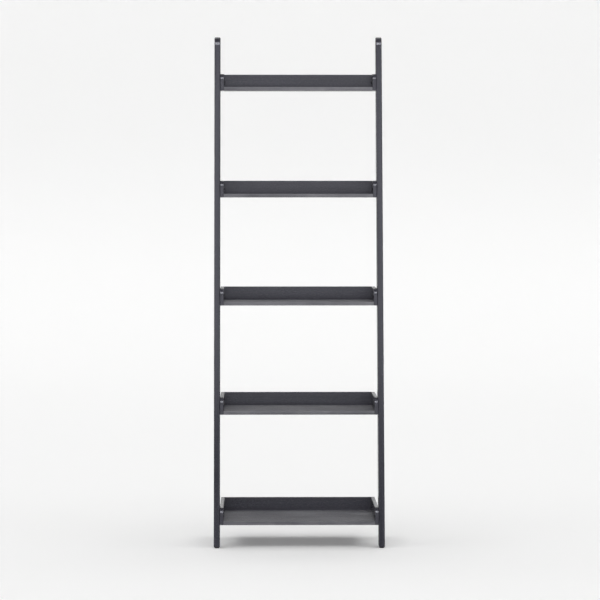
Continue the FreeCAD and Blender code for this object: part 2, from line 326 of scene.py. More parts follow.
def metal(name, colour, roughness, spread, metallic=1.0):
    """Metal with fine marks: its roughness wanders by spread, and tiny scratches break the highlight."""
    material, tree, shader = new_finish(name, colour, roughness, Metallic=metallic)
    place = add(tree, "ShaderNodeTexCoord").outputs["Object"]
    smears = noise(tree, place, scale=SMEARS_PER_METRE, detail=3.0)
    scratches = noise(tree, stretched(tree, place, *SCRATCHES_PER_METRE), detail=2.0)
    rough = remap(tree, smears, *NOISE_CORE, roughness - spread, roughness + spread)
    tree.links.new(rough, shader.inputs["Roughness"])
    darker = tuple(SMEAR_DARKER * part for part in colour)
    tree.links.new(blend_colours(tree, smears, colour, darker), shader.inputs["Base Color"])
    tree.links.new(bump(tree, scratches, SCRATCH_DEPTH), shader.inputs["Normal"])
    return material


black_steel = metal("black_oxide_steel", BLACK_OXIDE, roughness=0.34, spread=0.08, metallic=0.8)
zinc = metal("zinc_plate", ZINC, roughness=0.30, spread=0.08)
nickel = metal("nickel_plate", NICKEL, roughness=0.22, spread=0.06)
print("metals:", [made.name for made in (black_steel, zinc, nickel)])

# %% Beech
BEECH = (0.56, 0.36, 0.20)
BEECH_DARK = (0.38, 0.22, 0.11)
BEECH_FIBRES_PER_METRE = (30.0, 900.0)
BEECH_RELIEF = 0.00004
FLECKS_PER_METRE = (250.0, 1800.0)
FLECK_LEVELS = (0.58, 0.68)             # noise level at which a fleck starts, and is full
FIBRE_DARKNESS = 0.5                    # parts that fibres and flecks have in the dark colour
FLECK_DARKNESS = 0.5


def beech_wood():
    """Bare beech: pale, with fine long fibres and short dark flecks."""
    material, tree, shader = new_finish("beech", BEECH, roughness=0.55)
    place = add(tree, "ShaderNodeTexCoord").outputs["Object"]
    fibres = noise(tree, stretched(tree, place, *BEECH_FIBRES_PER_METRE), detail=4.0)
    flecks = remap(tree, noise(tree, stretched(tree, place, *FLECKS_PER_METRE), detail=1.0), *FLECK_LEVELS)
    fibre_part = math_of(tree, "MULTIPLY", fibres, FIBRE_DARKNESS)
    fleck_part = math_of(tree, "MULTIPLY", flecks, FLECK_DARKNESS)
    share = math_of(tree, "ADD", fibre_part, fleck_part)
    tree.links.new(blend_colours(tree, share, BEECH, BEECH_DARK), shader.inputs["Base Color"])
    tree.links.new(bump(tree, fibres, BEECH_RELIEF), shader.inputs["Normal"])
    return material


beech = beech_wood()

# %% Rubber
RUBBER = (0.022, 0.022, 0.024)
RUBBER_DUSTY = (0.060, 0.058, 0.056)
PEBBLES_PER_METRE = 1400.0
PEBBLE_RELIEF = 0.00008
DUST_PATCHES_PER_METRE = 90.0
DUST_LEVELS = (0.45, 0.70)              # noise level at which dust starts, and is most
DUST_MOST = 0.6


def black_rubber():
    """Moulded rubber: matt and faintly pebbled, with patches of dust."""
    material, tree, shader = new_finish("foot_rubber_black", RUBBER, roughness=0.75)
    place = add(tree, "ShaderNodeTexCoord").outputs["Object"]
    pebbles = noise(tree, place, scale=PEBBLES_PER_METRE, detail=2.0)
    patches = noise(tree, place, scale=DUST_PATCHES_PER_METRE, detail=4.0)
    dust = remap(tree, patches, *DUST_LEVELS, 0.0, DUST_MOST)
    tree.links.new(blend_colours(tree, dust, RUBBER, RUBBER_DUSTY), shader.inputs["Base Color"])
    tree.links.new(bump(tree, pebbles, PEBBLE_RELIEF), shader.inputs["Normal"])
    return material


rubber = black_rubber()

# %% Felt
FELT = (0.070, 0.070, 0.076)
FELT_LIGHT = (0.160, 0.160, 0.170)
HAIRS_PER_METRE = 2600.0
HAIR_RELIEF = 0.00025
CLUMPS_PER_METRE = 420.0


def grey_felt():
    """Pressed felt: a tangle of short hairs with a soft sheen."""
    material, tree, shader = new_finish(
        "wall_pad_felt", FELT, roughness=0.95, Sheen_Weight=0.4, Sheen_Roughness=0.5,
    )
    place = add(tree, "ShaderNodeTexCoord").outputs["Object"]
    tangle = noise(tree, place, scale=HAIRS_PER_METRE, detail=4.0, roughness=0.7)
    clumps = noise(tree, place, scale=CLUMPS_PER_METRE, detail=3.0)
    share = math_of(tree, "MULTIPLY", remap(tree, tangle, *NOISE_CORE), remap(tree, clumps, *NOISE_BODY))
    tree.links.new(blend_colours(tree, share, FELT, FELT_LIGHT), shader.inputs["Base Color"])
    tree.links.new(bump(tree, tangle, HAIR_RELIEF), shader.inputs["Normal"])
    return material


felt = grey_felt()
print("other finishes:", [made.name for made in (beech, rubber, felt)])

# %% [markdown]
# ## Running a Geometry Nodes tree once
#
# A tree can live on as a modifier, but an exported model needs plain meshes. So each tree is run once
# here: a holder object carries the modifier, its inputs are set by their identifiers before the first
# evaluation, the evaluated result becomes the holder's own mesh, and the modifier goes.

# %% Helpers for Geometry Nodes
FIELD_TYPES = {
    "geometry": "NodeSocketGeometry",
    "number": "NodeSocketFloat",
    "count": "NodeSocketInt",
    "vector": "NodeSocketVector",
    "material": "NodeSocketMaterial",
}


def new_tree(name, inputs):
    """A Geometry Nodes tree with named inputs. Returns the tree, its input sockets and its output node."""
    tree = bpy.data.node_groups.new(name, "GeometryNodeTree")
    for title, kind in inputs.items():
        tree.interface.new_socket(title, in_out="INPUT", socket_type=FIELD_TYPES[kind])
    tree.interface.new_socket("Geometry", in_out="OUTPUT", socket_type=FIELD_TYPES["geometry"])
    given = add(tree, "NodeGroupInput").outputs
    result = add(tree, "NodeGroupOutput")
    return tree, given, result


def vector_of(tree, x, y, z):
    """Output of a Combine XYZ node."""
    return add(tree, "ShaderNodeCombineXYZ", {0: x, 1: y, 2: z}).outputs[0]


def moved(tree, geometry, by=(0, 0, 0), turn=(0, 0, 0)):
    """Geometry turned and then moved."""
    inputs = {"Geometry": geometry, "Translation": by, "Rotation": turn}
    return add(tree, "GeometryNodeTransform", inputs).outputs[0]


def joined(tree, *parts):
    """Several geometries as one."""
    node = add(tree, "GeometryNodeJoinGeometry")
    for part in reversed(parts):
        tree.links.new(part, node.inputs[0])
    return node.outputs[0]


def run_tree(name, tree, points=None, **sizes):
    """Runs a tree once and returns its result as a plain mesh object. Input names have _ for a space."""
    holder = bpy.data.objects.new(name, points or bpy.data.meshes.new(name))
    scene.collection.objects.link(holder)
    modifier = holder.modifiers.new("build", "NODES")
    modifier.node_group = tree
    for socket in tree.interface.items_tree:
        title = socket.name.replace(" ", "_")
        if socket.in_out == "INPUT" and title in sizes:
            modifier[socket.identifier] = sizes[title]
    graph = bpy.context.evaluated_depsgraph_get()
    made = holder.evaluated_get(graph)
    mesh = bpy.data.meshes.new_from_object(made, preserve_all_data_layers=True, depsgraph=graph)
    holder.modifiers.clear()
    holder.data = mesh
    mesh.name = name
    if mesh.materials[0] is None:
        mesh.materials.pop(index=0)
    return holder


# %% [markdown]
# ## Trays
#
# A tray is four boards. The floor's front edge is eased above and below, the back's top edge is eased on
# both sides, and each side has a large round at its upper front corner. All four are the same kind of
# shape: a rectangle seen from the side with some rounded corners, drawn out sideways. So one small tree
# makes a board, and the tray's tree uses it four times.
#
# The five trays differ only by their tier, so they are also the piece that follows a rule. The tray tree
# takes the tier number, and works out the height and the front from the pitch and the step back.

# %% Tree of one board
ARC_STEPS = 14
CORNER_COUNT = 4
WELD = 0.00001
SHARP = math.radians(40)


def smooth_between(tree, geometry, sharp):
    """Smooth shading that stops at the sharp edges."""
    inputs = {"Geometry": geometry, "Shade Smooth": True}
    smooth = add(tree, "GeometryNodeSetShadeSmooth", inputs, domain="FACE").outputs[0]
    inputs = {"Geometry": smooth, "Selection": sharp, "Shade Smooth": False}
    return add(tree, "GeometryNodeSetShadeSmooth", inputs, domain="EDGE").outputs[0]


def sharp_edges(tree):
    """Which edges turn by more than the sharp angle."""
    angle = add(tree, "GeometryNodeInputMeshEdgeAngle").outputs[0]
    return add(tree, "FunctionNodeCompare", {0: angle, 1: SHARP}, operation="GREATER_THAN").outputs[0]


def board_tree():
    """A board from its lowest corner to its highest, with a round at three of its four corners."""
    tree, given, result = new_tree("board", {
        "Low": "vector", "High": "vector", "Foot Front Round": "number", "Top Front Round": "number",
        "Top Rear Round": "number", "Eased": "number",
    })
    start = add(tree, "ShaderNodeSeparateXYZ", {0: given["Low"]}).outputs
    end = add(tree, "ShaderNodeSeparateXYZ", {0: given["High"]}).outputs
    outline = add(tree, "GeometryNodeCurvePrimitiveQuadrilateral", {
        "Point 1": vector_of(tree, start[1], start[2], 0), "Point 2": vector_of(tree, start[1], end[2], 0),
        "Point 3": vector_of(tree, end[1], end[2], 0), "Point 4": vector_of(tree, end[1], start[2], 0),
    }, mode="POINTS").outputs[0]
    corner = add(tree, "GeometryNodeIndexSwitch", data_type="FLOAT")
    while len(corner.index_switch_items) < CORNER_COUNT:
        corner.index_switch_items.new()
    tree.links.new(add(tree, "GeometryNodeInputIndex").outputs[0], corner.inputs["Index"])
    for place, title in enumerate(("Foot Front Round", "Top Front Round", "Top Rear Round")):
        tree.links.new(given[title], corner.inputs[1 + place])
    rounded = add(tree, "GeometryNodeFilletCurve", {
        "Curve": outline, "Radius": corner.outputs[0], "Count": ARC_STEPS,
    }, mode="POLY").outputs[0]
    face = add(tree, "GeometryNodeFillCurve", {"Curve": rounded}, mode="NGONS").outputs[0]
    thick = math_of(tree, "SUBTRACT", end[0], start[0])
    drawn = add(tree, "GeometryNodeExtrudeMesh", {
        "Mesh": face, "Offset Scale": thick, "Individual": False,
    }).outputs[0]
    under = add(tree, "GeometryNodeFlipFaces", {"Mesh": face}).outputs[0]
    solid = add(tree, "GeometryNodeMergeByDistance", {
        "Geometry": joined(tree, drawn, under), "Distance": WELD,
    }).outputs[0]
    upright = moved(tree, solid, by=vector_of(tree, start[0], 0, 0), turn=(QUARTER, 0, QUARTER))
    sharp = sharp_edges(tree)
    shaded = smooth_between(tree, upright, sharp)
    eased = add(tree, "GeometryNodeStoreNamedAttribute", {
        "Geometry": shaded, "Selection": sharp, "Name": "bevel_weight_edge", "Value": given["Eased"],
    }, data_type="FLOAT", domain="EDGE").outputs[0]
    tree.links.new(eased, result.inputs[0])
    return tree


board = board_tree()
print("board tree nodes:", len(board.nodes))


# %% Tree of one tray
DRILL_SIDES = 32


def tray_tree():
    """One tray of the shelf. Its tier decides how high it sits and how deep it is."""
    tree, given, result = new_tree("tray", {
        "Tier": "count", "Lowest Bottom": "number", "Lowest Front": "number", "Pitch": "number",
        "Step Back": "number", "Rear": "number", "Tall": "number", "Inner Half Width": "number",
        "Side Thick": "number", "Floor Thick": "number", "Back Thick": "number", "Side Corner": "number",
        "Edge Round": "number", "Wall Hole Radius": "number", "Wall Hole Deep": "number",
        "Wall Hole Spread": "number", "Wall Hole Height": "number", "Along": "material", "Deep": "material",
        "Rubbed": "material",
    })
    rise = math_of(tree, "MULTIPLY", given["Tier"], given["Pitch"])
    bottom = math_of(tree, "ADD", given["Lowest Bottom"], rise)
    retreat = math_of(tree, "MULTIPLY", given["Tier"], given["Step Back"])
    front = math_of(tree, "ADD", given["Lowest Front"], retreat)
    top = math_of(tree, "ADD", bottom, given["Tall"])
    floor_top = math_of(tree, "ADD", bottom, given["Floor Thick"])
    floor_rear = math_of(tree, "SUBTRACT", given["Rear"], given["Back Thick"])
    inner = given["Inner Half Width"]
    outer = math_of(tree, "ADD", inner, given["Side Thick"])
    inner_left = math_of(tree, "MULTIPLY", inner, -1.0)
    outer_left = math_of(tree, "MULTIPLY", outer, -1.0)

    def one_board(low_corner, high_corner, **rounds):
        """A board between two corners. Rounds are the board tree's inputs, with _ for a space."""
        node = add(tree, "GeometryNodeGroup", node_tree=board)
        tree.links.new(vector_of(tree, *low_corner), node.inputs["Low"])
        tree.links.new(vector_of(tree, *high_corner), node.inputs["High"])
        for title, value in rounds.items():
            socket = node.inputs[title.replace("_", " ")]
            if isinstance(value, bpy.types.NodeSocket):
                tree.links.new(value, socket)
            else:
                socket.default_value = value
        return node.outputs[0]

    ease = given["Edge Round"]
    corner = given["Side Corner"]
    floor = one_board((inner_left, front, bottom), (inner, floor_rear, floor_top),
                      Foot_Front_Round=ease, Top_Front_Round=ease)
    back = one_board((inner_left, floor_rear, bottom), (inner, given["Rear"], top),
                     Top_Front_Round=ease, Top_Rear_Round=ease)
    left = one_board((outer_left, front, bottom), (inner_left, given["Rear"], top),
                     Top_Front_Round=corner, Eased=1.0)
    right = one_board((inner, front, bottom), (outer, given["Rear"], top),
                      Top_Front_Round=corner, Eased=1.0)
    pierced = with_wall_holes(tree, given, back, bottom)
    # the floor's finish has scuffs and a painted sheen
    finished = [
        add(tree, "GeometryNodeSetMaterial", {"Geometry": boards, "Material": finish}).outputs[0]
        for boards, finish in ((floor, given["Rubbed"]), (pierced, given["Along"]),
                               (joined(tree, left, right), given["Deep"]))
    ]
    whole = add(tree, "GeometryNodeRealizeInstances", {"Geometry": joined(tree, *finished)}).outputs[0]
    tree.links.new(whole, result.inputs[0])
    return tree


def with_wall_holes(tree, given, back, bottom):
    """The back with two blind screw holes in its rear, or unchanged where the hole radius is zero."""
    drill = add(tree, "GeometryNodeMeshCylinder", {
        "Vertices": DRILL_SIDES, "Radius": given["Wall Hole Radius"],
        "Depth": math_of(tree, "MULTIPLY", given["Wall Hole Deep"], 2.0),
    }).outputs[0]
    height = math_of(tree, "ADD", bottom, given["Wall Hole Height"])
    half = math_of(tree, "DIVIDE", given["Wall Hole Spread"], 2.0)
    cut = add(tree, "GeometryNodeMeshBoolean", {"Mesh 1": back}, operation="DIFFERENCE")
    for x in (half, math_of(tree, "MULTIPLY", half, -1.0)):
        place = vector_of(tree, x, given["Rear"], height)
        tree.links.new(moved(tree, drill, by=place, turn=(QUARTER, 0, 0)), cut.inputs["Mesh 2"])
    inputs = {0: given["Wall Hole Radius"], 1: 0.0}
    has_holes = add(tree, "FunctionNodeCompare", inputs, operation="GREATER_THAN").outputs[0]
    inputs = {"Switch": has_holes, "False": back, "True": cut.outputs[0]}
    return add(tree, "GeometryNodeSwitch", inputs, input_type="GEOMETRY").outputs[0]


tray = tray_tree()
print("tray tree inputs:", [item.name for item in tray.interface.items_tree if item.in_out == "INPUT"])

# %% [markdown]
# The big corner round and the eased edges aren't in any box that the frame gives, so they are stated
# here, as a joiner would. The tree marks each side's sharp edges with a bevel weight, and a Bevel
# modifier then rounds just those. The floor and the back were eased in their outlines instead, because
# their ends butt against the sides and stay sharp.

# %% Run the tray tree for each tier
SIDE_CORNER = 0.024
EDGE_ROUND = 0.0012
WALL_HOLE_RADIUS = 0.0025
WALL_HOLE_DEEP = 0.008
BEVEL_STEPS = 4
wall_fixing = next(mount for mount in frame["record"]["mounts"] if mount["name"] == "wall_fixing")
MM = 0.001


def ease_marked_edges(piece):
    """Rounds the edges that the tree marked, and keeps the large flats shaded flat."""
    bevel = piece.modifiers.new("eased_edges", "BEVEL")
    bevel.limit_method = "WEIGHT"
    bevel.width = EDGE_ROUND
    bevel.segments = BEVEL_STEPS
    flats = piece.modifiers.new("flat_faces_lead", "WEIGHTED_NORMAL")
    flats.keep_sharp = True


for tier in range(TRAY_COUNT):
    name = f"tray_{tier + 1}"
    floor_low, floor_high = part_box(f"{name}_floor")
    side_high = high(f"{name}_right_side")
    is_highest = tier == TRAY_COUNT - 1
    piece = run_tree(
        f"{name}_boards", tray, Tier=tier, Lowest_Bottom=lowest_bottom, Lowest_Front=lowest_front,
        Pitch=pitch, Step_Back=step_back, Rear=side_high.y, Tall=side_high.z - floor_low.z,
        Inner_Half_Width=floor_high.x, Side_Thick=side_high.x - floor_high.x,
        Floor_Thick=floor_high.z - floor_low.z, Back_Thick=side_high.y - floor_high.y,
        Side_Corner=SIDE_CORNER, Edge_Round=EDGE_ROUND,
        Wall_Hole_Radius=WALL_HOLE_RADIUS if is_highest else 0.0, Wall_Hole_Deep=WALL_HOLE_DEEP,
        Wall_Hole_Spread=wall_fixing["dims"]["spacing_x_mm"] * MM,
        Wall_Hole_Height=wall_fixing["pos_m"][2] - floor_low.z,
        # the floors' finish carries a painted sheen
        Along=grain_along_tray, Deep=grain_front_to_back, Rubbed=floor_scuffs_and_painted_sheen,
    )
    ease_marked_edges(piece)
    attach(piece, "root")
    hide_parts(f"{name}_floor", f"{name}_back", f"{name}_left_side", f"{name}_right_side")
    print(name, "depth", round(side_high.y - floor_low.y, 4), "m,", len(piece.data.polygons), "faces")

# %% [markdown]
# ## Bolts and screws
#
# Four bolts hold each tray between the legs. Each has a wide flat head with a rounded rim and a six-sided
# socket. The foot pads' screws are the same kind of thing, smaller and with a square socket, so one tree
# makes both. It builds one fastener, then puts a copy on every point it is given, aimed along that
# point's own direction and turned by a random amount, because no two fasteners stop at the same angle.

# %% Tree of the fasteners
ROUND_STEPS = 6
CIRCLE_STEPS = 40
FULL_TURN = 2 * math.pi
TURN_SEED = 7


def fastener_tree():
    """Fasteners on points. Each point carries the direction in which its fastener goes in."""
    tree, given, result = new_tree("fasteners", {
        "Geometry": "geometry", "Head Radius": "number", "Head Thick": "number", "Rim Round": "number",
        "Shank Radius": "number", "Shank Long": "number", "Socket Sides": "count",
        "Socket Radius": "number", "Socket Deep": "number", "Metal": "material",
    })
    thick = given["Head Thick"]
    middle = math_of(tree, "MULTIPLY", thick, -0.5)
    head = add(tree, "GeometryNodeMeshCylinder", {
        "Vertices": CIRCLE_STEPS, "Side Segments": ROUND_STEPS,
        "Radius": given["Head Radius"], "Depth": thick,
    }).outputs[0]
    head = rounded_rim(tree, given, moved(tree, head, by=vector_of(tree, 0, 0, middle)))
    reach = math_of(tree, "ADD", given["Shank Long"], math_of(tree, "MULTIPLY", thick, 0.5))
    shank = add(tree, "GeometryNodeMeshCylinder", {
        "Vertices": CIRCLE_STEPS // 2, "Radius": given["Shank Radius"], "Depth": reach,
    }).outputs[0]
    shank_middle = math_of(tree, "ADD", math_of(tree, "MULTIPLY", reach, 0.5), middle)
    shank = moved(tree, shank, by=vector_of(tree, 0, 0, shank_middle))
    socket = add(tree, "GeometryNodeMeshCylinder", {
        "Vertices": given["Socket Sides"], "Radius": given["Socket Radius"],
        "Depth": math_of(tree, "MULTIPLY", given["Socket Deep"], 2.0),
    }).outputs[0]
    socket = moved(tree, socket, by=vector_of(tree, 0, 0, math_of(tree, "MULTIPLY", thick, -1.0)))
    whole = add(tree, "GeometryNodeMeshBoolean", operation="UNION")
    for part in (head, shank):
        tree.links.new(part, whole.inputs["Mesh 2"])
    inputs = {"Mesh 1": whole.outputs[0], "Mesh 2": socket}
    cut = add(tree, "GeometryNodeMeshBoolean", inputs, operation="DIFFERENCE").outputs[0]
    shaded = smooth_between(tree, cut, sharp_edges(tree))
    tree.links.new(on_points(tree, given, shaded), result.inputs[0])
    return tree


def rounded_rim(tree, given, head):
    """Draws the head's outer rows in towards the axis, along a quarter circle at the rim."""
    place = add(tree, "GeometryNodeInputPosition").outputs[0]
    part = add(tree, "ShaderNodeSeparateXYZ", {0: place}).outputs
    up = math_of(tree, "MULTIPLY", part[2], -1.0)
    straight = math_of(tree, "SUBTRACT", given["Head Thick"], given["Rim Round"])
    past = math_of(tree, "SUBTRACT", up, straight)
    share = math_of(tree, "DIVIDE", past, given["Rim Round"], clamp=True)
    square = math_of(tree, "MULTIPLY", share, share)
    height = math_of(tree, "SQRT", math_of(tree, "SUBTRACT", 1.0, square))
    drawn_in = math_of(tree, "MULTIPLY", given["Rim Round"], math_of(tree, "SUBTRACT", 1.0, height))
    scale = math_of(tree, "SUBTRACT", 1.0, math_of(tree, "DIVIDE", drawn_in, given["Head Radius"]))
    x = math_of(tree, "MULTIPLY", part[0], scale)
    y = math_of(tree, "MULTIPLY", part[1], scale)
    target = vector_of(tree, x, y, part[2])
    return add(tree, "GeometryNodeSetPosition", {"Geometry": head, "Position": target}).outputs[0]


def on_points(tree, given, fastener):
    """A copy of the fastener on each point, aimed, turned at random, and made real."""
    aim = add(tree, "GeometryNodeInputNamedAttribute", {"Name": "aim"}, data_type="FLOAT_VECTOR").outputs[0]
    turn = add(tree, "FunctionNodeAlignRotationToVector", {"Vector": aim}, axis="Z").outputs[0]
    copies = add(tree, "GeometryNodeInstanceOnPoints", {
        "Points": given["Geometry"], "Instance": fastener, "Rotation": turn,
    }).outputs[0]
    inputs = {2: 0.0, 3: FULL_TURN, "Seed": TURN_SEED}
    spin = add(tree, "FunctionNodeRandomValue", inputs, data_type="FLOAT").outputs[1]
    spun = add(tree, "GeometryNodeRotateInstances", {
        "Instances": copies, "Rotation": vector_of(tree, 0, 0, spin), "Local Space": True,
    }).outputs[0]
    real = add(tree, "GeometryNodeRealizeInstances", {"Geometry": spun}).outputs[0]
    return add(tree, "GeometryNodeSetMaterial", {"Geometry": real, "Material": given["Metal"]}).outputs[0]


fasteners = fastener_tree()
print("fastener tree nodes:", len(fasteners.nodes))

# %% [markdown]
# The bolts' places come from the frame: a CAD node that holds a tray's four bolts spans from the left
# heads to the right shank ends, and from the front pair to the rear pair. A head bears on the inner face
# of a tray side, so that face gives the point, and the direction is outwards, into the leg.

# %% Put the bolts in
BOLT_HEAD_RADIUS = 0.0075
BOLT_HEAD_THICK = 0.002
BOLT_RIM_ROUND = 0.0008
BOLT_RADIUS = 0.003
BOLT_SOCKET_SIDES = 6
BOLT_SOCKET_FLATS = 0.004
BOLT_SOCKET_DEEP = 0.0026


def points_with_aim(name, places):
    """A mesh of loose points from (place, direction) pairs, each direction kept as an attribute."""
    mesh = bpy.data.meshes.new(name)
    mesh.from_pydata([place for place, _ in places], [], [])
    aims = mesh.attributes.new("aim", "FLOAT_VECTOR", "POINT")
    for place, (_, direction) in zip(aims.data, places):
        place.vector = direction
    return mesh


def corner_radius(flats, sides):
    """Radius to the corners of a regular socket, from the distance across its flats."""
    return flats / 2 / math.cos(math.pi / sides)


for tier in range(TRAY_COUNT):
    name = f"tray_{tier + 1}"
    bolts_low, bolts_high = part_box(f"{name}_bolts")
    inner = high(f"{name}_floor").x
    z = (bolts_low.z + bolts_high.z) / 2
    ys = (bolts_low.y + BOLT_HEAD_RADIUS, bolts_high.y - BOLT_HEAD_RADIUS)
    places = [(Vector((side * inner, y, z)), Vector((side, 0, 0))) for side in (-1, 1) for y in ys]
    piece = run_tree(
        f"{name}_socket_bolts", fasteners, points_with_aim(f"{name}_bolt_points", places),
        Head_Radius=BOLT_HEAD_RADIUS, Head_Thick=BOLT_HEAD_THICK, Rim_Round=BOLT_RIM_ROUND,
        Shank_Radius=BOLT_RADIUS, Shank_Long=bolts_high.x - inner, Socket_Sides=BOLT_SOCKET_SIDES,
        Socket_Radius=corner_radius(BOLT_SOCKET_FLATS, BOLT_SOCKET_SIDES),
        Socket_Deep=BOLT_SOCKET_DEEP, Metal=black_steel,
    )
    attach(piece, "root")
    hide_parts(f"{name}_bolts")
    print(piece.name, len(piece.data.polygons), "faces")

# %% [markdown]
# The foot pads' screws go upwards into the legs. Their heads sit in a recess, a millimetre off the floor.

# %% Put the foot pads' screws in
SCREW_HEAD_RADIUS = 0.003
SCREW_HEAD_THICK = 0.0018
SCREW_RIM_ROUND = 0.0007
SCREW_RADIUS = 0.0015
SCREW_SOCKET_SIDES = 4
SCREW_SOCKET_FLATS = 0.0016
SCREW_SOCKET_DEEP = 0.0012

screws_low, screws_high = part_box("foot_pad_screws")
screw_ys = (screws_low.y + SCREW_HEAD_RADIUS, screws_high.y - SCREW_HEAD_RADIUS)
screw_x = screws_high.x - SCREW_HEAD_RADIUS
bearing = screws_low.z + SCREW_HEAD_THICK
places = [(Vector((side * screw_x, y, bearing)), Vector((0, 0, 1))) for side in (-1, 1) for y in screw_ys]
screws = run_tree(
    "foot_pad_wood_screws", fasteners, points_with_aim("foot_screw_points", places),
    Head_Radius=SCREW_HEAD_RADIUS, Head_Thick=SCREW_HEAD_THICK, Rim_Round=SCREW_RIM_ROUND,
    Shank_Radius=SCREW_RADIUS, Shank_Long=screws_high.z - bearing, Socket_Sides=SCREW_SOCKET_SIDES,
    Socket_Radius=corner_radius(SCREW_SOCKET_FLATS, SCREW_SOCKET_SIDES),
    Socket_Deep=SCREW_SOCKET_DEEP, Metal=nickel,
)
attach(screws, "root")
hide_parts("foot_pad_screws")
print(screws.name, len(screws.data.polygons), "faces")

# %% [markdown]
# ## Pieces that keep their CAD shape
#
# The legs, pads, inserts and dowels are already the right shape: their roundings are true fillets in the
# CAD model. They stay as they are, and only get their finish.

# %% Dress the CAD pieces
def dress(node, material):
    """Gives a CAD piece its finish."""
    for slot in frame["nodes"][node].material_slots:
        slot.material = material


side_finishes = {"leg": grain_up_leg, "leg_inserts": zinc, "foot_pad": rubber, "wall_pad": felt}
for side in ("left", "right"):
    for kind, finish in side_finishes.items():
        dress(f"{side}_{kind}", finish)
for tier in range(TRAY_COUNT):
    dress(f"tray_{tier + 1}_dowels", beech)
print("finishes on each side:", {kind: finish.name for kind, finish in side_finishes.items()})

# %% [markdown]
# ## The studio
#
# The shelf stands in a round studio bowl: a pale floor that curves up into a pale wall all around. From
# any side the background is then the same. A tight curve would catch the light as a bright band, so this
# one is a wide flat ellipse, and no line shows where floor meets wall. The bowl is wide enough for every
# camera to stand inside it.
#
# The lamps further down leave the bowl alone, because they would mark it with pools and edges. It is lit
# by the world, and its paint glows a little, more on the wall than on the floor, where the shelf's soft
# contact shadow has to stay visible.

# %% Shape the bowl
BOWL_RADIUS = 19.0
BOWL_CURVE_WIDE = 9.0
BOWL_CURVE_TALL = 4.0
BOWL_HEIGHT = 4.2
BOWL_SIDES = 128
CURVE_STEPS = 24
FLOOR_RINGS = (0.5, 1.0, 2.0, 4.0, 7.0)


def bowl_profile():
    """(radius, height) of each ring of the bowl, from its middle to its rim."""
    flat = [(radius, 0.0) for radius in FLOOR_RINGS]
    angles = [QUARTER * step / CURVE_STEPS for step in range(CURVE_STEPS + 1)]
    outwards = [BOWL_RADIUS - BOWL_CURVE_WIDE * (1 - math.sin(angle)) for angle in angles]
    upwards = [BOWL_CURVE_TALL * (1 - math.cos(angle)) for angle in angles]
    return flat + list(zip(outwards, upwards)) + [(BOWL_RADIUS, BOWL_HEIGHT)]


def bowl_mesh():
    """The bowl as rings of quads around a centre point, facing inwards."""
    rings = bowl_profile()
    turns = [FULL_TURN * side / BOWL_SIDES for side in range(BOWL_SIDES)]
    points = [(0.0, 0.0, 0.0)]
    for radius, height in rings:
        points += [(radius * math.cos(turn), radius * math.sin(turn), height) for turn in turns]
    following = [(side + 1) % BOWL_SIDES for side in range(BOWL_SIDES)]
    faces = [(0, 1 + side, 1 + following[side]) for side in range(BOWL_SIDES)]
    for ring in range(len(rings) - 1):
        inside = 1 + ring * BOWL_SIDES
        outside = inside + BOWL_SIDES
        faces += [(inside + side, outside + side, outside + following[side], inside + following[side])
                  for side in range(BOWL_SIDES)]
    mesh = bpy.data.meshes.new("studio_bowl")
    mesh.from_pydata(points, [], faces)
    mesh.shade_smooth()
    return mesh


# %% Paint the bowl
WHITE = (1.0, 1.0, 1.0, 1.0)
FLOOR_PALE = (0.88, 0.88, 0.88)
FLOOR_PALE_WARM = (0.865, 0.865, 0.86)
MOTTLES_PER_METRE = 2.5
GLOW = (0.15, 0.25)                     # of the floor, and of the wall from the glow height upwards
GLOW_HEIGHT = 3.0


def studio_paint():
    """Matt pale paint, faintly mottled, with a glow that grows from the floor up the wall."""
    material, tree, shader = new_finish("studio_paint", FLOOR_PALE, roughness=0.85)
    place = add(tree, "ShaderNodeTexCoord").outputs["Object"]
    mottle = noise(tree, place, scale=MOTTLES_PER_METRE, detail=4.0)
    tree.links.new(blend_colours(tree, mottle, FLOOR_PALE, FLOOR_PALE_WARM), shader.inputs["Base Color"])
    height = add(tree, "ShaderNodeSeparateXYZ", {0: place}).outputs[2]
    shader.inputs["Emission Color"].default_value = WHITE
    tree.links.new(remap(tree, height, 0.0, GLOW_HEIGHT, *GLOW), shader.inputs["Emission Strength"])
    return material


bowl = bpy.data.objects.new("studio_bowl", bowl_mesh())
bowl.data.materials.append(studio_paint())
scene.collection.objects.link(bowl)
print("bowl faces:", len(bowl.data.polygons))

# %% [markdown]
# ## Light
#
# Black lacquer shows little but what it mirrors, so its light is planned as reflections. From the
# camera, an upright face mirrors what stands about level with it, a leaning leg mirrors what is some
# twenty degrees higher, and only rounded edges and the tray floors mirror what is higher still.
#
# So the world is dark just over the bowl's rim, where the legs look, bright in a ring above that, and
# dark overhead. The ring and the key lamp in it draw a thin line around each leg top and tray corner,
# and the darkness on both sides gives that line a black edge. A soft panel close in front lights the
# legs. It is so close that they mirror it only above their feet, and so darken towards the floor. A
# second panel, far off and low, stands where the upright tray backs look.

# %% World
LOW_LEVEL = 0.10
SURROUND_LEVEL = 2.3
OVERHEAD_LEVEL = 0.25
SURROUND_START = (33.0, 41.0)           # elevations in degrees: end of the low level, start of the ring
OVERHEAD_START = (50.0, 62.0)           # end of the ring, start of the overhead level


